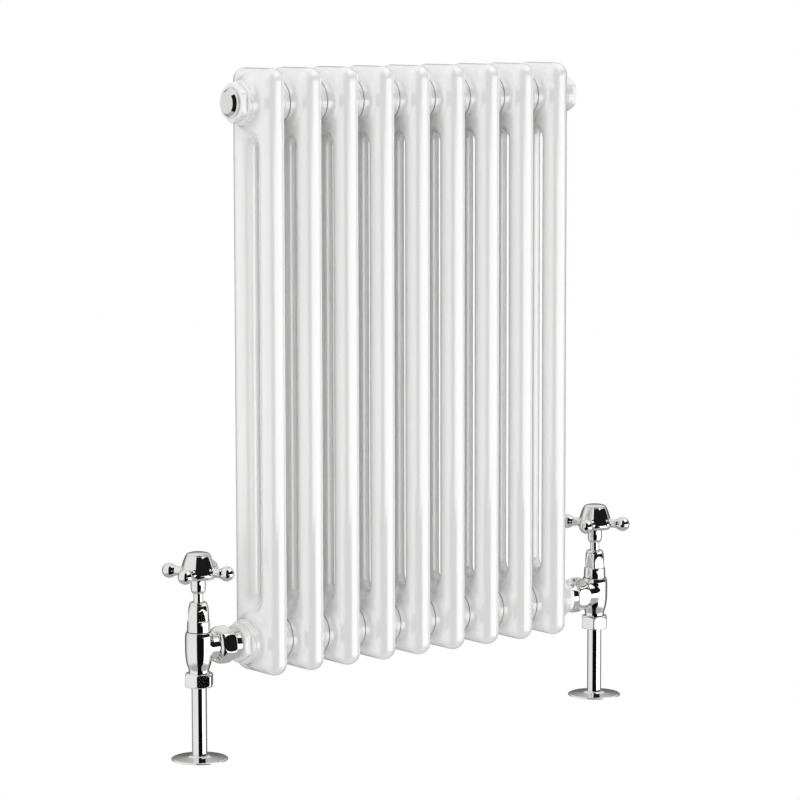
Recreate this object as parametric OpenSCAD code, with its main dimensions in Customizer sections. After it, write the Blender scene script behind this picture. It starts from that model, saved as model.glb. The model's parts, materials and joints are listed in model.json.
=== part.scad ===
// Two-column radiator with a cross-head angle valve, a pipe tail and a floor plate at each end.
// x = 0 is the middle of the width, y = 0 the middle of the depth with the front at -y, z = 0 the floor.

/* [Radiator] */
// Distance between the centres of two neighbouring sections
section_pitch = 45; // [44:0.5:50]
// Height of a section from its lowest to its highest point
section_height = 600; // [400:10:900]
// Height of the radiator's underside above the floor
floor_gap = 78; // [70:1:150]
// Distance between the centres of the front and the rear column
column_spacing = 43; // [42:0.5:50]
// Outside diameter of a column and of the heads that join them
column_d = 25; // [24:0.5:26]
// Wall of the columns and heads
sheet = 1.5; // [1.2:0.1:2]
// Distance from the section's end to the centre line of its hubs
hub_inset = 33.5; // [32:0.5:40]
// Distance from the section's end to the end of the slot between its columns
slot_inset = 70; // [66:1:90]

/* [Valves] */
// Distance from the end section's centre to the valve's axis
valve_offset = 76; // [76:1:90]
// Outside diameter of the pipe
pipe_d = 15; // [15:1:15]
// Wall of the pipe
pipe_wall = 0.7; // [0.7:0.1:1]
// Angle of the cross handle's first arm from +x
handle_angle = 32; // [0:1:89]
// Distance from the handle's axis to the centre of each ball
arm_reach = 30.8; // [29:0.1:36]
// Diameter of the floor plates
plate_d = 56; // [50:1:60]

/* [Hidden] */
section_count = 9;
half_row = (section_count - 1) / 2;
first_x = -half_row * section_pitch;
valve_x = -first_x + valve_offset;
column_r = column_d / 2;
column_y = column_spacing / 2;
low_hub = floor_gap + hub_inset;
high_hub = floor_gap + section_height - hub_inset;
hub_bore = 18;
hub_face = section_pitch / 2 - 0.25;
joint = section_pitch / 2;
bush_face = joint + 10;
bush_bore = 10.4;
thread_gap = 0.05;
web = column_d - 1;
ridge_step = 0.1;
spanner_turn = 47;
union_turn = 12;

reach = valve_offset - bush_face;
pipe_r = pipe_d / 2;
pipe_stop = -19;
olive_top = -31.5;
nut_top = -24.7;
nut_low = -39;
body_thread = 9.9;
body_top = 16;
seat_z = -8;
chamber = 8.8;
neck_end = 27.5;
union_thread = 13.3;
union_shoulder = 32.5;
stem_r = 4.75;
running = 0.05;
bonnet_foot = 9;
gland_seat = 36;
gland_face = 43.4;
jumper_stem = 6.45;
drive_r = 3;

VALVE_NODES = ["valve_body", "tail_piece", "union_seal", "union_nut", "pipe_tail", "olive",
               "compression_nut", "floor_plate", "bonnet", "bonnet_washer", "gland_packing",
               "gland_nut", "spindle", "jumper", "seat_washer", "cross_handle",
               "handle_cap", "handle_screw"];

$fn = 64;

// ---- helpers ----

module along_x() {
    rotate([0, 90, 0]) children();
}

module turned(points) {
    rotate_extrude() polygon(points);
}

module ring(inner, outer, low, high) {
    turned([[inner, low], [outer, low], [outer, high], [inner, high]]);
}

// Hexagon with the given distance across its flats, from low to high, its corners cut by a turned limit
module hex(across, low, high, limit) {
    intersection() {
        translate([0, 0, low]) cylinder(r = across / sqrt(3), h = high - low, $fn = 6);
        turned(limit);
    }
}

// ---- radiator ----

// The columns with their heads, made smaller all round by an inset
module section_shape(inset) {
    radius = column_r - inset;
    head_z = section_height / 2 - column_r;
    slot_z = section_height / 2 - slot_inset - column_y + column_r;
    slot_r = column_y - column_r + inset;
    for (side = [-1, 1]) {
        translate([0, side * column_y, 0]) cylinder(r = radius, h = 2 * head_z, center = true);
        for (end = [-1, 1])
            translate([0, side * column_y, end * head_z]) sphere(r = radius);
    }
    for (end = [0, 1])
        mirror([0, 0, end]) {
            translate([0, 0, head_z]) rotate([90, 0, 0])
                cylinder(r = radius - ridge_step, h = column_spacing, center = true);
            difference() {
                translate([-web / 2 + inset, -column_y, slot_z])
                    cube([web - 2 * inset, column_spacing, head_z - slot_z]);
                translate([0, 0, slot_z]) along_x() cylinder(r = slot_r, h = column_d, center = true);
            }
        }
}

module section(i) {
    boss = [[0, -hub_face], [22.4, -hub_face], [22.7, -19], [23.8, -15.5], [25.8, -12.5], [27, -9],
            [27, 9], [25.8, 12.5], [23.8, 15.5], [22.7, 19], [22.4, hub_face], [0, hub_face]];
    hub_rise = section_height / 2 - hub_inset;
    color("white") translate([first_x + i * section_pitch, 0, floor_gap + section_height / 2])
        difference() {
            union() {
                section_shape(0);
                for (end = [-1, 1])
                    translate([0, 0, end * hub_rise]) along_x() turned(boss);
            }
            section_shape(sheet);
            for (end = [-1, 1])
                translate([0, 0, end * hub_rise]) along_x()
                    cylinder(r = hub_bore, h = 2 * joint, center = true);
        }
}

// Places its children at each joint between two sections
module at_joints() {
    for (i = [0:section_count - 2])
        translate([first_x + (i + 0.5) * section_pitch, 0, 0]) children();
}

// Threaded nipple that draws two sections together, with two lugs for the joining key
module nipple() {
    length = 26;
    inner = 14.5;
    lug = 2.5;
    along_x() union() {
        ring(inner, hub_bore - thread_gap, -length / 2, length / 2);
        for (side = [-1, 1])
            translate([side * (inner - lug / 2 + 0.3), 0, 0]) cube([lug, 5, length - 8], center = true);
    }
}

module nipples(z) {
    color("darkgray") at_joints() translate([0, 0, z]) nipple();
}

module joint_gaskets() {
    thick = joint - hub_face;
    color("dimgray") at_joints()
        for (z = [low_hub, high_hub])
            translate([0, 0, z]) along_x() ring(hub_bore + 0.3, 22.2, -thick, thick);
}

// Places its children on the end hub: side -1 is left, 1 is right, and local +z points outwards
module at_end(side, z) {
    translate([side * -first_x, 0, z]) rotate([0, side * 90, 0]) children();
}

module bush(side, z) {
    flange = joint + 0.25;
    hex_foot = 25.2;
    limit = [[0, hex_foot - 1], [20.2, hex_foot - 1], [20.2, bush_face - 1.2], [18.8, bush_face],
             [0, bush_face]];
    color("white") at_end(side, z) difference() {
        union() {
            cylinder(r = hub_bore - thread_gap, h = flange);
            turned([[0, flange], [21.6, flange], [21.6, hex_foot - 0.5], [21.1, hex_foot], [0, hex_foot]]);
            hex(36, hex_foot - 0.5, bush_face, limit);
        }
        translate([0, 0, -1]) cylinder(r = bush_bore, h = bush_face + 2);
        translate([0, 0, -1]) cylinder(r = hub_bore - 2.5, h = 15);
    }
}

module bush_gaskets() {
    color("dimgray")
        for (side = [-1, 1])
            for (z = [low_hub, high_hub])
                at_end(side, z) ring(hub_bore + 0.3, 21.4, hub_face, joint + 0.25);
}

// Outline shared by the blanking plug and the air vent plug
module plug_shape() {
    seat = bush_face + 0.5;
    face = bush_face + 6;
    cylinder(r = bush_bore - thread_gap, h = seat);
    turned([[0, seat], [14.6, seat], [14.6, seat + 1.2], [14, seat + 1.7], [12.4, seat + 2.1],
            [11.4, seat + 3], [11.1, face - 1], [10.6, face - 0.3], [9.9, face], [0, face]]);
}

module plug_hollow() {
    translate([0, 0, -1]) cylinder(r = bush_bore - 2.4, h = bush_face - 3);
    translate([0, 0, -1]) cylinder(r = hub_bore, h = 17);
}

module blanking_plug() {
    color("silver") at_end(-1, high_hub) difference() {
        plug_shape();
        plug_hollow();
    }
}

module vent_plug() {
    color("silver") at_end(1, high_hub) difference() {
        plug_shape();
        plug_hollow();
        cylinder(r = 2.5, h = bush_face + 7);
        translate([0, 0, bush_face + 3.6]) rotate([90, 0, 0]) cylinder(r = 0.8, h = 16);
    }
}

module plug_seals() {
    color("black")
        for (side = [-1, 1])
            at_end(side, high_hub) ring(bush_bore + 0.3, 13.4, bush_face, bush_face + 0.5);
}

// Bleed screw with a square head for the vent key
module vent_screw() {
    tip = bush_face - 6;
    head_foot = bush_face + 6.3;
    color("goldenrod") at_end(1, high_hub) union() {
        turned([[0, tip], [1.2, tip], [2.45, tip + 1.6], [2.45, head_foot], [0, head_foot]]);
        turned([[0, head_foot], [3.6, head_foot], [3.6, head_foot + 0.8], [0, head_foot + 0.8]]);
        translate([-2.4, -2.4, head_foot + 0.8]) cube([4.8, 4.8, 4]);
    }
}

// ---- valve: local z = 0 is the tail's axis, and local +x points at the radiator ----

module at_valve(side) {
    translate([side * valve_x, 0, low_hub]) rotate([0, 0, side < 0 ? 0 : 180]) children();
}

// The handle's own frame isn't turned round on the right-hand valve, so both handles point alike
module at_handle(side) {
    translate([side * valve_x, 0, low_hub]) rotate([0, 0, handle_angle]) children();
}

module valve_body(side) {
    color("silver") at_valve(side) difference() {
        union() {
            turned([[0, -31], [body_thread, -31], [body_thread, -24.6], [10, -24], [10.3, -21.5],
                    [11, -19.2], [12.2, -15.4], [13.1, -10], [13.5, -5], [13.6, 0], [13.6, 9],
                    [13.4, 13], [12.9, 15], [12.2, body_top], [0, body_top]]);
            along_x() turned([[0, 0], [13.2, 0], [13.2, 17], [union_thread, 17.2],
                              [union_thread, neck_end - 0.6], [12.7, neck_end], [0, neck_end]]);
        }
        translate([0, 0, -40]) cylinder(r = pipe_r + running, h = 40 + pipe_stop);
        translate([0, 0, -25]) cylinder(r = 6, h = 30);
        translate([0, 0, seat_z]) cylinder(r = chamber, h = 40);
        translate([0, 0, bonnet_foot - 0.5]) cylinder(r = 10.5, h = 20);
        along_x() cylinder(r = 6.4, h = neck_end + 1);
    }
}

module tail_piece(side) {
    barrel = bush_bore - thread_gap;
    color("silver") at_valve(side) along_x() difference() {
        turned([[0, 29], [12.8, 29], [12.8, union_shoulder], [10.8, union_shoulder], [10.8, reach],
                [barrel, reach], [barrel, reach + 11], [barrel - 0.8, reach + 12], [0, reach + 12]]);
        translate([0, 0, 20]) cylinder(r = 7.5, h = 60);
    }
}

module union_seal(side) {
    color("black") at_valve(side) along_x() ring(8.5, 12.6, neck_end, 29);
}

module union_nut(side) {
    inner = union_thread + thread_gap;
    limit = [[0, 17.5], [14.6, 17.5], [16.2, 18.6], [17.5, 20.4], [18.3, 22.6], [18.5, 24.5],
             [18.5, 33.4], [17.6, 35], [0, 35]];
    color("silver") at_valve(side) rotate([side < 0 ? -union_turn : 0, 0, 0]) along_x() difference() {
        union() {
            hex(33.4, 17, 35, limit);
            turned([[0, 34], [16.4, 34], [15.7, 36.2], [15.5, 36.8], [15.5, reach - 1.2],
                    [14.6, reach - 0.3], [0, reach - 0.3]]);
        }
        cylinder(r = inner, h = union_shoulder);
        cylinder(r = 11, h = reach + 1);
    }
}

module pipe_tail(side) {
    color("silver") at_valve(side) ring(pipe_r - pipe_wall, pipe_r, -low_hub, pipe_stop);
}

module olive(side) {
    bore = pipe_r + running;
    color("goldenrod") at_valve(side)
        turned([[bore, -36.2], [8.2, -36.2], [8.9, -35], [9.1, -33.8], [8.9, -32.6], [8.2, olive_top],
                [bore, olive_top]]);
}

module compression_nut(side) {
    mouth = body_thread + thread_gap;
    limit = [[0, nut_low], [12.2, nut_low], [13.9, nut_low + 1.5], [14.6, nut_low + 3], [14.6, nut_top - 3],
             [13.9, nut_top - 1.5], [12.2, nut_top], [0, nut_top]];
    color("silver") at_valve(side) rotate([0, 0, spanner_turn]) difference() {
        hex(26, nut_low, nut_top, limit);
        translate([0, 0, nut_low - 1]) cylinder(r = pipe_r + 0.2, h = 20);
        translate([0, 0, -36.5]) cylinder(r = mouth, h = 20);
    }
}

// Dished pressing that hides the pipe's hole in the floor and slides on the pipe
module floor_plate(side) {
    plate_r = plate_d / 2;
    bore = pipe_r + 0.08;
    color("silver") at_valve(side) translate([0, 0, -low_hub])
        turned([[plate_r - 2.4, 0], [plate_r, 0], [plate_r, 0.9], [plate_r - 1, 1.7], [12.4, 3],
                [10.8, 3.6], [9.6, 4.4], [bore, 4.4], [bore, 2.8], [11.6, 1.9], [plate_r - 2.6, 0.8]]);
}

module bonnet(side) {
    color("silver") at_valve(side) difference() {
        union() {
            turned([[0, bonnet_foot], [9.6, bonnet_foot], [10.5 - thread_gap, bonnet_foot + 0.8],
                    [10.5 - thread_gap, body_top + 0.4], [11.5, body_top + 0.4],
                    [11.2, 27], [10.4, 27.6], [0, 27.6]]);
            rotate([0, 0, spanner_turn])
                hex(19.8, 27, gland_face - 0.4,
                    [[0, 26], [11.1, 27], [10.2, 38.6], [9.1, gland_face - 0.4], [0, gland_face - 0.4]]);
        }
        cylinder(r = jumper_stem + running, h = 21);
        translate([0, 0, 20]) cylinder(r = 6, h = 20);
        translate([0, 0, gland_seat]) cylinder(r = 7.2, h = 20);
    }
}

module bonnet_washer(side) {
    color("black") at_valve(side) ring(10.6, 12, body_top, body_top + 0.4);
}

module gland_packing(side) {
    color("white") at_valve(side) ring(stem_r + running, 7.1, gland_seat, gland_seat + 2.6);
}

module gland_nut(side) {
    color("silver") at_valve(side) difference() {
        turned([[0, gland_seat + 2.6], [7.15, gland_seat + 2.6], [7.15, gland_face - 0.4],
                [9, gland_face - 0.4], [9, gland_face + 1], [8.6, gland_face + 1.7],
                [7.8, gland_face + 2.3], [5.6, gland_face + 2.6], [0, gland_face + 2.6]]);
        translate([0, 0, gland_seat]) cylinder(r = stem_r + running, h = 20);
    }
}

// Turns in place: its lower end is the screw that lifts the jumper
module spindle(side) {
    shoulder = 34;
    color("silver") at_handle(side) difference() {
        union() {
            turned([[0, 8.5], [drive_r - 0.6, 8.5], [drive_r, 9.2], [drive_r, 20.5], [5.94, 21],
                    [5.94, shoulder], [stem_r, shoulder + 0.8], [stem_r, 57], [0, 57]]);
            translate([-3, -3, 56]) cube([6, 6, 24]);
        }
        translate([0, 0, 66]) cylinder(r = 2, h = 20);
    }
}

module jumper(side) {
    stem_foot = -2.6;
    color("goldenrod") at_valve(side) difference() {
        turned([[0, -7.2], [1.9, -7.2], [1.9, -4.9], [7.8, -4.9], [7.8, stem_foot],
                [jumper_stem, stem_foot + 1], [jumper_stem, 14], [0, 14]]);
        translate([0, 0, 2]) cylinder(r = drive_r + running, h = 20);
    }
}

module seat_washer(side) {
    color("black") at_valve(side) ring(2, 7.6, seat_z + 0.1, -4.9);
}

module arm() {
    foot = 10;
    neck = arm_reach - 11;
    along_x() turned([[0, foot], [6.2, foot], [6, neck - 6.8], [5.3, neck - 4.4], [4.6, neck - 2.1],
                      [4.4, neck], [4.8, neck + 2.2], [5.5, neck + 4.4], [6.4, neck + 7.5], [0, neck + 7.5]]);
    translate([arm_reach, 0, 0]) sphere(r = 7.4);
}

module cross_handle(side) {
    arm_z = 75.3;
    top = 92.6;
    color("silver") at_handle(side) difference() {
        union() {
            turned([[0, 54], [5.1, 54], [6.2, 55.2], [7.1, 57], [7.4, 59], [7.4, 67], [8.2, 68.2],
                    [14.6, 68.6], [16, 70.2], [16.9, 72.4], [17.2, 75], [17.1, 78], [16.6, 81.6],
                    [15.9, 85], [15.1, 87.8], [14.3, 89.8], [13.4, 91.4], [12.4, top], [0, top]]);
            for (i = [0:3])
                rotate([0, 0, i * 90]) translate([0, 0, arm_z]) arm();
        }
        translate([0, 0, 50]) cylinder(r = stem_r + thread_gap, h = 7);
        translate([-3.05, -3.05, 56]) cube([6.1, 6.1, 25]);
        translate([0, 0, 78]) cylinder(r = 2.1, h = 10);
        translate([0, 0, 83]) cylinder(r = 5, h = 20);
    }
}

// Press-in button that covers the handle's screw
module handle_cap(side) {
    foot = 92.6;
    color("silver") at_handle(side) union() {
        turned([[0, foot - 3], [4.9, foot - 3], [4.9, foot], [0, foot]]);
        turned([[0, foot], [12, foot], [11.7, foot + 0.7], [10.9, foot + 1.4], [9.6, foot + 2],
                [7, foot + 2.6], [3.5, foot + 2.9], [0, foot + 3]]);
    }
}

module handle_screw(side) {
    head_foot = 83;
    color("goldenrod") at_handle(side) difference() {
        turned([[0, 67], [1.5, 67], [1.95, 67.6], [1.95, head_foot], [3.8, head_foot], [3.8, 85.2],
                [3.2, 86], [0, 86]]);
        translate([-4, -0.5, 85]) cube([8, 1, 2]);
    }
}

// ---- what is drawn ----

for (i = [1:section_count])
    section(i - 1);
nipples(high_hub);  // top_nipples
nipples(low_hub);  // bottom_nipples
joint_gaskets();
bush(-1, high_hub);  // bush_top_left
bush(1, high_hub);  // bush_top_right
bush(-1, low_hub);  // bush_bottom_left
bush(1, low_hub);  // bush_bottom_right
bush_gaskets();
blanking_plug();
vent_plug();
plug_seals();
vent_screw();
for (side = [-1, 1]) {
    hand = side < 0 ? "left_" : "right_";
    valve_body(side);
    tail_piece(side);
    union_seal(side);
    union_nut(side);
    pipe_tail(side);
    olive(side);
    compression_nut(side);
    floor_plate(side);
    bonnet(side);
    bonnet_washer(side);
    gland_packing(side);
    gland_nut(side);
    spindle(side);
    jumper(side);
    seat_washer(side);
    cross_handle(side);
    handle_cap(side);
    handle_screw(side);
}
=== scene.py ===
"""Looks of a two-column radiator with an angle valve at each end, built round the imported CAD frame.

Shapes are worked out in millimetres. Turned parts are lathed from an outline. Cast and hexagonal
parts are written as distance fields and meshed, so that their edges are rounded like real ones.
"""

import json
import math

import bpy
import numpy as np
from mathutils import Matrix, Vector

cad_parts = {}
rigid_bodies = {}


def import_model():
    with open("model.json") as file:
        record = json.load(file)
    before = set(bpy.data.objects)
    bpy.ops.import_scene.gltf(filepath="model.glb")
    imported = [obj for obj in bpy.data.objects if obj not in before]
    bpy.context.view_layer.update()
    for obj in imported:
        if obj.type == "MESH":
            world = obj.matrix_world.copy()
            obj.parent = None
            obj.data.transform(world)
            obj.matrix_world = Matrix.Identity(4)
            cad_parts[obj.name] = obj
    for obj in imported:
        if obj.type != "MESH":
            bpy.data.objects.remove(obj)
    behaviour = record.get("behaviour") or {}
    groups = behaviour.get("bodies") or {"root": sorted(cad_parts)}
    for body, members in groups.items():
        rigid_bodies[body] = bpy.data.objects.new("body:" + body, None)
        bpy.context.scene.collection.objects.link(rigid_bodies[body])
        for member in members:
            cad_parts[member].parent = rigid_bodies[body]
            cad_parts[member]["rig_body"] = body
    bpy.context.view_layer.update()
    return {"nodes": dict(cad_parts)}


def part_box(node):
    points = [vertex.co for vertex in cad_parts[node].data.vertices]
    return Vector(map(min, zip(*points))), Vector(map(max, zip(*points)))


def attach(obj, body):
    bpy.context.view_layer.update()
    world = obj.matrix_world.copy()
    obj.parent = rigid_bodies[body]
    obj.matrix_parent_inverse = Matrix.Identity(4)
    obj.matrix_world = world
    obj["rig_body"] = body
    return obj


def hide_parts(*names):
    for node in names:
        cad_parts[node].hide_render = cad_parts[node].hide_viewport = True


MM = 0.001

# Millimetres
COLUMN_R = 12.5
SLOT_INSET = 79  # from a section's end to where the slot between its columns starts to round off
SHARP_FILLET = 0.08  # for an outline's corner that states none
ARM_Z = 75.3
ARM_REACH = 30.8

# Degrees
HANDLE_ANGLE = 32
HEX_ANGLE = 47  # how the compression nut and the bonnet sit on the thread
LEFT_UNION_ANGLE = -12
CAMERA_ROLL = -0.095

# Camera: place in metres, the way it looks, and its lens in millimetres
CAMERA_PLACE = (-2.1618, -2.8093, 0.763)
FORWARD = Vector((0.6044, 0.7877, -0.1191)).normalized()
LENS = 157.6
SENSOR = 36
SCREEN_RIGHT = FORWARD.cross((0, 0, 1)).normalized()
SCREEN_UP = SCREEN_RIGHT.cross(FORWARD)
TO_CAMERA = SCREEN_RIGHT.cross((0, 0, 1)).normalized()  # level, from the object

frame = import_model()


def box_mm(node):
    """Lowest corner, highest corner and centre of a CAD node, in millimetres."""
    low, high = (np.array(corner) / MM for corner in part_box(node))
    return low, high, (low + high) / 2


# ---- meshes ----


def new_mesh(name, points, faces, normals):
    """Smooth mesh from points in millimetres, with its own normals."""
    mesh = bpy.data.meshes.new(name)
    mesh.from_pydata((points * MM).tolist(), [], faces)
    mesh.shade_smooth()
    mesh.normals_split_custom_set_from_vertices(normals.tolist())
    return mesh


def outline(corners, closed):
    """Points and outward normals along a polyline (r, z, fillet), with its corners rounded."""
    straight = 1e-4
    arc_step = 0.15
    place = np.array([corner[:2] for corner in corners], float)
    steps = np.roll(place, -1, 0) - place
    heading = np.arctan2(steps[:, 1], steps[:, 0])
    length = np.hypot(*steps.T)
    points, angles = [], []
    last = len(corners) - 1
    for i, corner in enumerate(corners):
        if not closed and i in (0, last):
            points.append(place[i])
            angles.append(heading[0] if i == 0 else heading[last - 1])
            continue
        turn = (heading[i] - heading[i - 1] + math.pi) % (2 * math.pi) - math.pi
        if abs(turn) < straight:
            points.append(place[i])
            angles.append(heading[i])
            continue
        fillet = corner[2] if len(corner) > 2 else SHARP_FILLET
        room = 0.49 * min(length[i - 1], length[i])
        cut = min(fillet * math.tan(abs(turn) / 2), room)
        radius = cut / math.tan(turn / 2)
        along = heading[i - 1]
        start = place[i] - cut * np.array((math.cos(along), math.sin(along)))
        for share in np.linspace(0, 1, 3 + int(abs(turn) / arc_step)):
            angle = along + share * turn
            swing = (math.sin(angle) - math.sin(along), math.cos(along) - math.cos(angle))
            points.append(start + radius * np.array(swing))
            angles.append(angle)
    return np.array(points), np.stack((np.sin(angles), -np.cos(angles)), -1)


def lathe(name, corners, closed=False, turns=96):
    """Turns an outline round the z axis. The outside lies on the right of the way it runs."""
    edge, out = outline(corners, closed)
    around = np.linspace(0, 2 * math.pi, turns, endpoint=False)
    spin = np.stack((np.cos(around), np.sin(around)), -1)

    def swept(values):
        flat = values[:, None, :1] * spin
        height = np.broadcast_to(values[:, None, 1:], (*flat.shape[:2], 1))
        return np.concatenate((flat, height), -1).reshape(-1, 3)

    index = np.arange(len(edge) * turns).reshape(len(edge), turns)
    on_axis = edge[:, 0] < 1e-6
    index[on_axis] = index[on_axis, :1]
    used, index = np.unique(index, return_inverse=True)
    index = index.reshape(len(edge), turns)
    rows = np.concatenate((index, index[:1])) if closed else index
    lower, upper = rows[:-1], rows[1:]
    quads = np.stack((lower, np.roll(lower, -1, 1), np.roll(upper, -1, 1), upper), -1)
    faces = [list(dict.fromkeys(quad)) for quad in quads.reshape(-1, 4).tolist()]
    return new_mesh(name, swept(edge)[used], faces, swept(out)[used])


def slope(field, points, reach=0.05):
    """Gradient of a field at some points."""
    sides = []
    for axis in np.eye(3) * reach:
        sides.append((field(*(points + axis).T) - field(*(points - axis).T)) / (2 * reach))
    return np.stack(sides, -1)


def cast(name, field, lines):
    """Meshes the surface where a field is zero, with one point in each grid cell it crosses."""
    grid = np.stack(np.meshgrid(*lines, indexing="ij"), -1)
    value = field(*np.moveaxis(grid, -1, 0))
    cells = np.array(value.shape) - 1
    total = np.zeros((cells.prod(), 3))
    hits = np.zeros(cells.prod())
    quads = []
    for axis in range(3):
        here = np.eye(3, dtype=int)[axis]
        near = value[tuple(slice(0, n - h) for n, h in zip(value.shape, here))]
        far = value[tuple(slice(h, None) for h in here)]
        where = np.argwhere((near < 0) != (far < 0))
        low, high = near[tuple(where.T)], far[tuple(where.T)]
        share = (low / (low - high))[:, None]
        start, end = grid[tuple(where.T)], grid[tuple((where + here).T)]
        crossing = start + (end - start) * share
        one, two = np.roll(here, 1), np.roll(here, 2)
        ring = np.stack([where - shift for shift in (0 * here, one, one + two, two)], 1)
        inside = ((ring >= 0) & (ring < cells)).all((1, 2))
        ring, crossing, low = ring[inside], crossing[inside], low[inside]
        flat = np.ravel_multi_index(np.moveaxis(ring, -1, 0), cells)
        for corner in flat.T:
            np.add.at(total, corner, crossing)
            np.add.at(hits, corner, 1)
        flat[low >= 0] = flat[low >= 0, ::-1]
        quads.append(flat)
    quads = np.concatenate(quads)
    used, index = np.unique(quads, return_inverse=True)
    points = total[used] / hits[used, None]
    for _ in range(4):  # slides the points onto the surface
        normal = slope(field, points)
        points -= field(*points.T)[:, None] * normal / (normal**2).sum(-1, keepdims=True)
    normal = slope(field, points)
    normal /= np.linalg.norm(normal, axis=-1, keepdims=True)
    return new_mesh(name, points, index.reshape(-1, 4).tolist(), normal)


def spaced(low, high, step):
    """Even grid lines from low to high, no further apart than step."""
    return np.linspace(low, high, 1 + math.ceil((high - low) / step))


def upright_grid(half, low, high, side_step, rise_step):
    """Grid lines round the z axis, half out to each side and from low to high."""
    side = spaced(-half, half, side_step)
    return [side, side, spaced(low, high, rise_step)]


# ---- distance fields: negative inside ----


def both(a, b, fillet):
    """Inside both fields, with a rounded edge where they meet."""
    corner = np.hypot(np.maximum(a + fillet, 0), np.maximum(b + fillet, 0))
    return np.minimum(-fillet, np.maximum(a, b)) + corner


def either(a, b, fillet):
    """Inside either field, with a filleted corner where they meet."""
    return -both(-a, -b, fillet)


def curve(knots, at):
    """Smooth curve through (position, value) knots, and its slope."""
    place, value = np.array(knots, float).T
    lean = np.gradient(value, place)
    at = np.clip(at, place[0], place[-1])
    i = np.clip(np.searchsorted(place, at) - 1, 0, len(place) - 2)
    gap = place[i + 1] - place[i]
    t = (at - place[i]) / gap
    climb = value[i + 1] - value[i]
    first, second = lean[i] * gap, lean[i + 1] * gap
    square = 3 * climb - 2 * first - second
    cube = first + second - 2 * climb
    height = value[i] + t * (first + t * (square + t * cube))
    return height, (first + t * (2 * square + 3 * t * cube)) / gap


def barrel(radius, at, knots):
    """A turned side whose radius follows the knots (position along the axis, radius)."""
    target, lean = curve(knots, at)
    return (radius - target) / np.hypot(1, lean)


def slab(at, low, high):
    """Between two planes."""
    return np.maximum(low - at, at - high)


def hexagon(x, y, across, fillet):
    """Six flats with rounded corners, one corner pointing along x."""
    angles = (0, math.pi / 3, -math.pi / 3)
    flats = [np.abs(x * math.sin(a) + y * math.cos(a)) - across / 2 for a in angles]
    return both(both(flats[0], flats[1], fillet), flats[2], fillet)


# ---- measures taken from the frame ----

section_low, section_high, section_mid = box_mm("section_1")
half_height = (section_high - section_low)[2] / 2
half_depth = (section_high - section_low)[1] / 2
hub_face = (section_high - section_low)[0] / 2
low_hub = box_mm("bush_bottom_left")[2][2]
high_hub = box_mm("bush_top_left")[2][2]
hub_rise = high_hub - section_mid[2]
end_x = -section_mid[0]
valve_x = box_mm("right_pipe_tail")[2][0]
column_y = half_depth - COLUMN_R
slot_z = half_height - SLOT_INSET
edge_r = COLUMN_R - 0.1


# ---- radiator ----


def section_field(x, y, z):
    """Two columns joined by a head at each end, and a hub through each head."""
    x, y, z = abs(x), abs(y), abs(z)
    plan = np.hypot(x, np.maximum(y - column_y, 0)) - COLUMN_R
    slot = np.hypot(y, np.maximum(z - slot_z, 0)) - column_y + COLUMN_R
    tubes = both(both(plan, z - half_height, edge_r), -slot, edge_r)
    neck = ((0, 28.6), (10, 28.2), (12.5, 27), (14.2, 25.2), (16, 23.6), (18, 22.7), (20, 22.4))
    neck += ((23, 22.4),)
    hub = both(barrel(np.hypot(y, z - hub_rise), x, neck), x - hub_face, 0.6)
    return either(tubes, hub, 2.2)


def section_lines():
    """Grid lines for a section: fine at the heads and hub faces, far apart along the columns."""
    step, margin = 1.2, 1.3
    across = (spaced(0, 12, step), spaced(12.9, 19.8, 1.15), spaced(20.5, 23.2, 0.38))
    across = np.concatenate(across)
    shank = spaced(0, slot_z - 8.2, 22)
    upwards = np.concatenate((shank, spaced(slot_z - 7, half_height + margin, step)))
    return [
        np.concatenate((-across[:0:-1], across)),
        spaced(-half_depth - margin, half_depth + margin, step),
        np.concatenate((-upwards[:0:-1], upwards)),
    ]


section_mesh = cast("section", section_field, section_lines())


def bush_field(x, y, z):
    """Reducing bush: round flange, then a hexagon. z runs outwards from the end section."""
    r = np.hypot(x, y)
    flange = both(r - 21.6, slab(z, 15, 25.2), 0.5)
    limit = barrel(r, z, ((20, 20.3), (29, 20.3), (31, 19.9), (32.2, 18.9), (33, 17.6)))
    nut = both(both(hexagon(x, y, 36, 0.8), limit, 0.5), slab(z, 18, 32.5), 0.5)
    return both(either(flange, nut, 0.4), 10.6 - r, 0.4)


bush_mesh = cast("bush", bush_field, upright_grid(22.3, 14.6, 33, 0.62, 0.45))
plug_mesh = lathe(
    "plug",
    [
        (0, 20),
        (10.3, 20),
        (10.3, 33),
        (14.6, 33, 0.2),
        (14.6, 34.2, 0.4),
        (12.9, 34.7, 0.5),
        (10.7, 38.5, 0.4),
        (0, 38.5),
    ],
)


# ---- valve: z = 0 is the tail's axis, and +x points at the radiator ----


def valve_body_field(x, y, z):
    """Bellied body with a side neck, hollowed where the valve disc moves."""
    stem = ((-25, 10), (-21.5, 10.3), (-19.2, 11), (-15.4, 12.2), (-10, 13.1), (-5, 13.5))
    stem += ((0, 13.6), (9, 13.6), (13, 13.4), (15, 12.9), (17, 12))
    upright = both(barrel(np.hypot(x, y), z, stem), slab(z, -31, 16), 0.6)
    neck = both(np.hypot(y, z) - 13.2, slab(x, 0, 20), 0.5)
    chamber = both(np.hypot(x, y) - 8.8, slab(z, -8, 40), 0.3)
    return both(either(upright, neck, 1.6), -chamber, 0.2)


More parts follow.
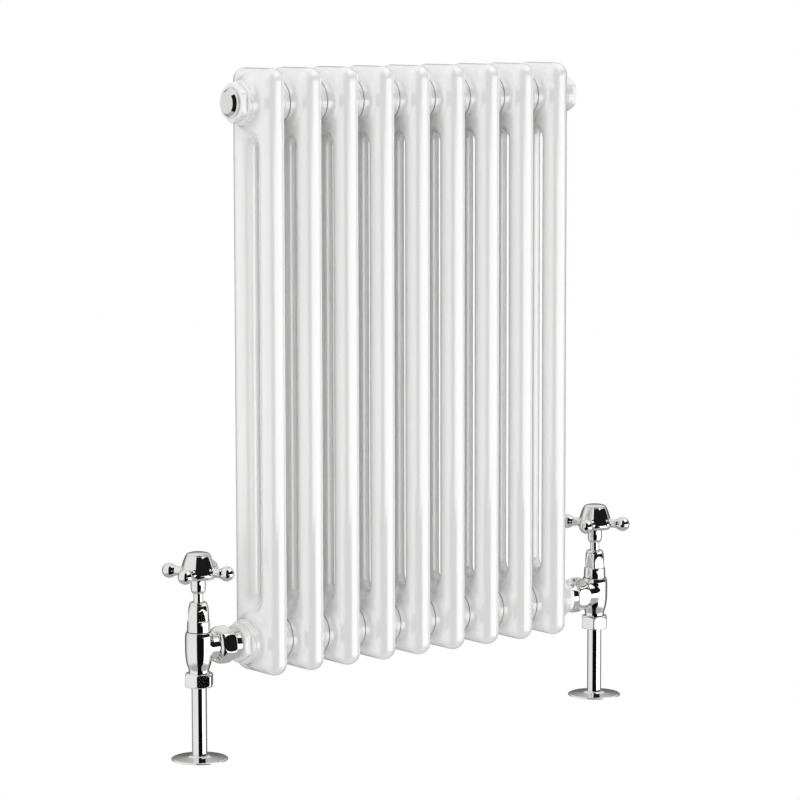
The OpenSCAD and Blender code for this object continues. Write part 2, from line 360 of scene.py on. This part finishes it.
def union_nut_field(x, y, z):
    """Hexagon with a round collar, built along z, which is then turned to point at the radiator."""
    r = np.hypot(x, y)
    limit = ((16, 14.2), (17.5, 14.6), (18.6, 16.2), (20.4, 17.5), (22.6, 18.3), (24.5, 18.6))
    limit += ((32, 18.6), (33.4, 18.4), (34.2, 17.8), (36, 16))
    nut = both(hexagon(x, y, 33.4, 0.5), barrel(r, z, limit), 0.35)
    nut = both(nut, slab(z, 17.5, 35), 0.5)
    collar = barrel(r, z, ((33, 16.6), (35, 16), (36.4, 15.6), (38, 15.5), (44, 15.5)))
    collar = both(collar, slab(z, 30, 43.2), 0.9)
    return both(either(nut, collar, 0.4), 10.8 - r, 0.4)


def compression_nut_field(x, y, z):
    """Hexagon rounded off at both ends, round the pipe."""
    r = np.hypot(x, y)
    limit = ((-40, 11.2), (-39, 12.6), (-38, 13.8), (-36.8, 14.6), (-35.4, 15), (-28.4, 15))
    limit += ((-27, 14.6), (-25.8, 13.8), (-24.7, 12.6), (-23.8, 11.4))
    nut = both(hexagon(x, y, 26, 1), barrel(r, z, limit), 0.5)
    return both(both(nut, slab(z, -39, -24.7), 0.7), 7.7 - r, 0.3)


def bonnet_field(x, y, z):
    """Round skirt with a tapering hexagon on it."""
    r = np.hypot(x, y)
    skirt = barrel(r, z, ((15, 11.5), (18, 11.5), (24, 11.3), (28, 11)))
    skirt = both(skirt, slab(z, 10, 27.2), 0.6)
    limit = ((25, 11.1), (30, 11), (34, 10.7), (38.6, 10.2), (41, 9.7), (43, 9), (44, 8.6))
    nut = both(both(hexagon(x, y, 19.8, 0.5), barrel(r, z, limit), 0.5), slab(z, 25, 43), 0.5)
    return both(either(skirt, nut, 0.4), 7.3 - r, 0.2)


def handle_field(x, y, z):
    """Dome on a collar, with four ball-ended arms."""
    r = np.hypot(x, y)
    dome = ((67, 14.2), (68.6, 15.1), (70.2, 16.5), (71.6, 17.3), (73, 17.6), (75, 17.5))
    dome += ((77.5, 17.1), (80, 16.6), (83, 15.8), (86, 14.9), (88.5, 14), (90.7, 13.1), (93, 12))
    crown = both(barrel(r, z, dome), slab(z, 68.5, 92.6), 0.7)
    collar = ((53, 4.9), (54, 5.2), (55.2, 6.2), (57, 7.1), (59, 7.4), (68, 7.4))
    collar = both(barrel(r, z, collar), slab(z, 54, 71), 0.3)
    along, off = np.maximum(abs(x), abs(y)), np.minimum(abs(x), abs(y))
    shank = ((8, 6.3), (13, 6), (15.4, 5.3), (17.7, 4.6), (19.8, 4.4), (22, 4.5), (24.2, 4.8))
    shank = barrel(np.hypot(off, z - ARM_Z), along, (*shank, (29, 5.6)))
    shank = both(shank, slab(along, 6, 29), 0.5)
    ball = np.sqrt((along - ARM_REACH) ** 2 + off**2 + (z - ARM_Z) ** 2) - 7.4
    return either(either(crown, collar, 0.6), either(shank, ball, 1.2), 1)


meshes = {
    "valve_body": cast(
        "valve_body",
        valve_body_field,
        [spaced(-14.3, 20.6, 0.6), spaced(-14.3, 14.3, 0.6), spaced(-31.6, 16.6, 0.6)],
    ),
    "union_nut": cast("union_nut", union_nut_field, upright_grid(19.4, 17, 43.8, 0.5, 0.45)),
    "compression_nut": cast(
        "compression_nut", compression_nut_field, upright_grid(15.4, -39.6, -24.1, 0.45, 0.4)
    ),
    "bonnet": cast("bonnet", bonnet_field, upright_grid(12, 9.6, 43.6, 0.4, 0.45)),
    "cross_handle": cast("cross_handle", handle_field, upright_grid(38.9, 53.4, 93.3, 0.55, 0.6)),
    "gland_nut": lathe(
        "gland_nut",
        [
            (4.85, 40),
            (7, 40),
            (7, 43),
            (9, 43, 0.1),
            (9, 44.4, 0.5),
            (8, 45.6, 0.8),
            (5.2, 46, 0.3),
            (4.85, 46),
        ],
        closed=True,
    ),
    "spindle": lathe("spindle", [(0, 34), (4.75, 34), (4.75, 57, 0.3), (0, 57)]),
    "handle_cap": lathe(
        "handle_cap",
        [
            (0, 90),
            (4.9, 90),
            (4.9, 92.6),
            (12, 92.6, 0.2),
            (11.7, 93.3, 0.8),
            (10.3, 94.4, 3),
            (7, 95.2, 12),
            (3.5, 95.5, 20),
            (0, 95.6),
        ],
    ),
}
meshes["cross_handle"].transform(Matrix.Rotation(math.radians(HANDLE_ANGLE), 4, "Z"))
floor_z = -low_hub
meshes["pipe_tail"] = lathe(
    "pipe_tail", [(6.8, floor_z), (7.5, floor_z, 0.2), (7.5, -19, 0.2), (6.8, -19)], closed=True
)
meshes["floor_plate"] = lathe(
    "floor_plate",
    [
        (7.58, floor_z + 2.8),
        (11.6, floor_z + 1.9, 2),
        (25.4, floor_z + 0.8, 2),
        (25.6, floor_z, 0.2),
        (28, floor_z, 0.3),
        (28, floor_z + 0.9, 0.4),
        (27, floor_z + 1.7, 1.5),
        (12.4, floor_z + 3, 4),
        (10.8, floor_z + 3.6, 1.5),
        (9.6, floor_z + 4.4, 0.8),
        (7.58, floor_z + 4.4, 0.2),
    ],
    closed=True,
)


# ---- finishes ----


NOISE_SPAN = (0.3, 0.7)  # where nearly all of the noise lies


class Finish:
    """One material: a principled shader whose colour, roughness and surface vary with noise."""

    def __init__(self, name, metallic=0.0):
        self.material = bpy.data.materials.new(name)
        self.material.use_nodes = True
        self.nodes = self.material.node_tree.nodes
        self.shader = self.nodes["Principled BSDF"]
        self.shader.inputs["Metallic"].default_value = metallic
        self.place = self.nodes.new("ShaderNodeTexCoord").outputs["Object"]

    def link(self, out, into):
        """Joins two sockets."""
        self.material.node_tree.links.new(out, into)

    def noise(self, scale, detail=2.0):
        """Noise in the object's own coordinates."""
        node = self.nodes.new("ShaderNodeTexNoise")
        node.inputs["Scale"].default_value = scale
        node.inputs["Detail"].default_value = detail
        self.link(self.place, node.inputs["Vector"])
        return node.outputs["Fac"]

    def colour(self, scale, dark, light):
        """Base colour that drifts between two shades."""
        ramp = self.nodes.new("ShaderNodeValToRGB")
        for stop, place, shade in zip(ramp.color_ramp.elements, NOISE_SPAN, (dark, light)):
            stop.position = place
            stop.color = (*shade, 1)
        self.link(self.noise(scale), ramp.inputs["Fac"])
        self.link(ramp.outputs["Color"], self.shader.inputs["Base Color"])

    def roughness(self, scale, low, high):
        """Roughness that drifts between two values."""
        spread = self.nodes.new("ShaderNodeMapRange")
        spread.inputs["From Min"].default_value = NOISE_SPAN[0]
        spread.inputs["From Max"].default_value = NOISE_SPAN[1]
        spread.inputs["To Min"].default_value = low
        spread.inputs["To Max"].default_value = high
        self.link(self.noise(scale, 4), spread.inputs["Value"])
        self.link(spread.outputs["Result"], self.shader.inputs["Roughness"])

    def relief(self, scale, depth):
        """Unevenness of the surface, with its depth in millimetres."""
        bump = self.nodes.new("ShaderNodeBump")
        bump.inputs["Strength"].default_value = 1
        bump.inputs["Distance"].default_value = depth * MM
        self.link(self.noise(scale), bump.inputs["Height"])
        self.link(bump.outputs["Normal"], self.shader.inputs["Normal"])


# Slot: name, metallic, colour (noise scale, dark, light), roughness (noise scale, low, high) and
# relief (noise scale, depth in millimetres)
FINISHES = {
    "white_enamel": (
        "gloss_enamel",
        0,
        (5, (0.815, 0.815, 0.81), (0.835, 0.835, 0.83)),
        (30, 0.07, 0.12),
        (260, 0.02),
    ),
    "chrome": (
        "polished_chrome",
        1,
        (20, (0.82, 0.82, 0.80), (0.87, 0.87, 0.855)),
        (60, 0.03, 0.07),
        (90, 0.012),
    ),
    "brass": (
        "turned_brass",
        1,
        (120, (0.62, 0.42, 0.16), (0.80, 0.60, 0.28)),
        (200, 0.2, 0.35),
        (900, 0.01),
    ),
    "steel": (
        "turned_steel",
        1,
        (150, (0.36, 0.36, 0.37), (0.5, 0.5, 0.51)),
        (250, 0.3, 0.5),
        (1200, 0.01),
    ),
    "rubber": (
        "seal_rubber",
        0,
        (300, (0.02, 0.02, 0.02), (0.05, 0.05, 0.05)),
        (400, 0.55, 0.75),
        (1500, 0.01),
    ),
    "ptfe": (
        "packing_ptfe",
        0,
        (200, (0.78, 0.78, 0.75), (0.88, 0.88, 0.86)),
        (300, 0.35, 0.5),
        (1000, 0.01),
    ),
}


def build_finish(name, metallic, colour, roughness, relief):
    """A material from one row of FINISHES. The enamel alone has a clear gloss over its colour."""
    finish = Finish(name, metallic)
    if name == "gloss_enamel":
        finish.shader.inputs["Coat Weight"].default_value = 1
        finish.shader.inputs["Coat IOR"].default_value = 1.75
        finish.shader.inputs["Specular IOR Level"].default_value = 0.75
    finish.colour(*colour)
    finish.roughness(*roughness)
    finish.relief(*relief)
    return finish.material


finishes = {slot: build_finish(*row) for slot, row in FINISHES.items()}


# ---- pieces ----


def place(node, mesh, finish, spot, turn=Matrix.Identity(4)):
    """Puts a mesh where a CAD node is, riding on the same body and shown in its stead."""
    if not mesh.materials:
        mesh.materials.append(finishes[finish])
    piece = bpy.data.objects.new(f"{node}_shape", mesh)
    bpy.context.scene.collection.objects.link(piece)
    piece.matrix_world = Matrix.Translation(Vector(spot) * MM) @ turn
    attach(piece, frame["nodes"][node]["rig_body"])
    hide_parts(node)


for number in range(1, 10):
    node = f"section_{number}"
    place(node, section_mesh, "white_enamel", box_mm(node)[2])

for side, hand in ((-1, "left"), (1, "right")):
    outwards = Matrix.Rotation(side * math.pi / 2, 4, "Y")
    for level, z in (("top", high_hub), ("bottom", low_hub)):
        bush = f"bush_{level}_{hand}"
        place(bush, bush_mesh, "white_enamel", (side * end_x, 0, z), outwards)
    plug = "blanking_plug" if side < 0 else "vent_plug"
    place(plug, plug_mesh, "chrome", (side * end_x, 0, high_hub), outwards)

    facing = Matrix.Rotation(0 if side < 0 else math.pi, 4, "Z")
    hex_turn = facing @ Matrix.Rotation(math.radians(HEX_ANGLE), 4, "Z")
    union_twist = math.radians(LEFT_UNION_ANGLE if side < 0 else 0)
    union_turn = facing @ Matrix.Rotation(union_twist, 4, "X")
    union_turn = union_turn @ Matrix.Rotation(math.pi / 2, 4, "Y")
    turns = {"union_nut": union_turn, "compression_nut": hex_turn, "bonnet": hex_turn}
    for part, mesh in meshes.items():
        turn = turns.get(part, facing)
        place(f"{hand}_{part}", mesh, "chrome", (side * valve_x, 0, low_hub), turn)

# Inner parts keep their CAD shape. The first word found in a part's name gives its finish.
INNER_FINISHES = {
    "steel": ("nipples",),
    "rubber": ("gasket", "seal", "washer"),
    "brass": ("olive", "jumper", "screw"),
    "ptfe": ("packing",),
    "chrome": ("",),  # the tail pieces, and the CAD parts that a mesh stands for
}
for name, node in frame["nodes"].items():
    finish = next(slot for slot, words in INNER_FINISHES.items() if any(w in name for w in words))
    node.data.materials.clear()
    node.data.materials.append(finishes[finish])


# ---- studio ----


def build_world():
    """Light from all round, in three versions.

    The camera sees plain white. Mirror reflections see a bright room with a dark stretch on the
    camera's right, a window in it below eye level and one high up, a dark strip by the camera, and
    a dimmer ground and back wall. Other light comes from a soft room with a dark strip between two
    bright ones. Azimuths are in degrees, from the camera's side of the object and rightwards.
    """
    world = bpy.data.worlds.new("studio")
    bpy.context.scene.world = world
    world.use_nodes = True
    tree = world.node_tree
    sky = tree.nodes["Background"]
    direction = tree.nodes.new("ShaderNodeTexCoord").outputs["Generated"]

    def math_node(kind, *values):
        """Output of a math node fed with numbers or sockets."""
        node = tree.nodes.new("ShaderNodeMath")
        node.operation = kind
        for socket, value in zip(node.inputs, values):
            if isinstance(value, (int, float)):
                socket.default_value = value
            else:
                tree.links.new(value, socket)
        return node.outputs[0]

    def along(axis):
        """How far the view direction runs along an axis."""
        node = tree.nodes.new("ShaderNodeVectorMath")
        node.operation = "DOT_PRODUCT"
        tree.links.new(direction, node.inputs[0])
        node.inputs[1].default_value = axis
        return node.outputs["Value"]

    def rise(value, start, end):
        """0 up to start and 1 from end on, with a smooth step between them."""
        node = tree.nodes.new("ShaderNodeMapRange")
        node.interpolation_type = "SMOOTHSTEP"
        tree.links.new(value, node.inputs["Value"])
        node.inputs["From Min"].default_value = start
        node.inputs["From Max"].default_value = end
        return node.outputs["Result"]

    def between(value, low, high, soft):
        """1 where value is between low and high, falling to 0 over soft at each end."""
        return math_node("MULTIPLY", rise(value, low - soft, low), rise(value, high + soft, high))

    def blend(below, above, share):
        """From below at a share of 0 to above at 1."""
        return math_node("MULTIPLY_ADD", math_node("SUBTRACT", above, below), share, below)

    def painted(light, *patches):
        """Paints patches over a light: strength, azimuths and heights (low, high, soft edge)."""
        for strength, azimuths, heights in patches:
            share = math_node("MULTIPLY", between(azimuth, *azimuths), between(height, *heights))
            light = blend(light, strength, share)
        return light

    def outside(low, high, soft):
        """1 beyond two azimuths."""
        return math_node("SUBTRACT", 1, between(azimuth, low, high, soft))

    black = 0.012
    azimuth = math_node("DEGREES", math_node("ARCTAN2", along(SCREEN_RIGHT), along(TO_CAMERA)))
    height = along((0, 0, 1))
    back_wall = blend(0.15, 0.85, rise(height, 0.1, 0.6))
    mirrored = blend(0.9, back_wall, outside(-100, 96, 38))
    mirrored = painted(mirrored, (black, (20, 110, 6), (-0.03, 0.56, 0.02)))
    mirrored = blend(0.45, mirrored, rise(height, -0.65, -0.4))
    mirrored = painted(
        mirrored,
        (1.9, (34, 94, 16), (-0.45, -0.03, 0.02)),
        (1.3, (40, 118, 5), (0.62, 0.9, 0.04)),
        (black, (-12, 40, 4), (-0.03, 0.93, 0.03)),
        (black, (-12, 16, 4), (-0.75, 0, 0.02)),
    )
    soft_light = painted(
        blend(0.7, 0.2, outside(-150, 112, 14)),
        (2.4, (-30, 2, 6), (-0.9, 0.9, 0.1)),
        (0.05, (2, 64, 6), (-0.9, 0.9, 0.1)),
        (2.1, (66, 112, 8), (-0.7, 0.85, 0.1)),
    )
    soft_light = blend(soft_light, 1.5, rise(height, 0.75, 0.9))
    rays = tree.nodes.new("ShaderNodeLightPath").outputs
    seen = blend(blend(soft_light, mirrored, rays["Is Glossy Ray"]), 1.0, rays["Is Camera Ray"])
    tree.links.new(seen, sky.inputs["Strength"])
    sky.inputs["Color"].default_value = (1, 1, 1, 1)
    world.cycles.sampling_method = "NONE"


def add_card(name, corners, paint):
    """Flat four-cornered card that isn't part of the object and gives it no light."""
    mesh = bpy.data.meshes.new(name)
    mesh.from_pydata([Vector(corner) * MM for corner in corners], [], [(0, 1, 2, 3)])
    mesh.materials.append(paint.material)
    card = bpy.data.objects.new(name, mesh)
    bpy.context.scene.collection.objects.link(card)
    card.visible_diffuse = False
    return card


def add_flag():
    """Upright black card, near the left valve at one side and far off at the other.

    Only mirror reflections show it. It lies low, so that mostly the valves reflect it.
    """
    cloth = Finish("flag_cloth")
    cloth.colour(40, (0.004, 0.004, 0.004), (0.008, 0.008, 0.008))
    cloth.roughness(80, 0.85, 0.95)
    cloth.shader.inputs["Specular IOR Level"].default_value = 0
    left_valve = Vector((-valve_x, 0, 0))
    near = left_valve + TO_CAMERA * 420 - SCREEN_RIGHT * 68
    far = left_valve + TO_CAMERA * 1520 + SCREEN_RIGHT * 1690
    bottom, near_top, far_top = -900, 160, -90
    corners = [(*near.xy, bottom), (*far.xy, bottom), (*far.xy, far_top), (*near.xy, near_top)]
    flag = add_card("flag", corners, cloth)
    flag.visible_camera = False


def add_floor():
    """Plain floor that glows as white as the background. Only the camera sees it."""
    paint = Finish("floor_paint")
    paint.shader.inputs["Base Color"].default_value = (0, 0, 0, 1)
    paint.shader.inputs["Specular IOR Level"].default_value = 0
    paint.shader.inputs["Emission Color"].default_value = (1, 1, 1, 1)
    paint.shader.inputs["Emission Strength"].default_value = 1
    half, z = 3000, -0.3
    corners = [(-half, -half, z), (half, -half, z), (half, half, z), (-half, half, z)]
    floor = add_card("floor", corners, paint)
    floor.visible_glossy = False
    floor.visible_transmission = False
    floor.visible_shadow = False


build_world()
add_flag()
add_floor()

camera = bpy.data.objects.new("camera", bpy.data.cameras.new("camera"))
bpy.context.scene.collection.objects.link(camera)
bpy.context.scene.camera = camera
camera.data.lens = LENS
camera.data.sensor_width = SENSOR
camera.data.clip_end = 100
level = Matrix((SCREEN_RIGHT, SCREEN_UP, -FORWARD)).transposed()
aim = level @ Matrix.Rotation(math.radians(CAMERA_ROLL), 3, "Z")
camera.matrix_world = Matrix.Translation(CAMERA_PLACE) @ aim.to_4x4()

bpy.context.scene.view_settings.view_transform = "Standard"
bpy.context.scene.view_settings.look = "None"
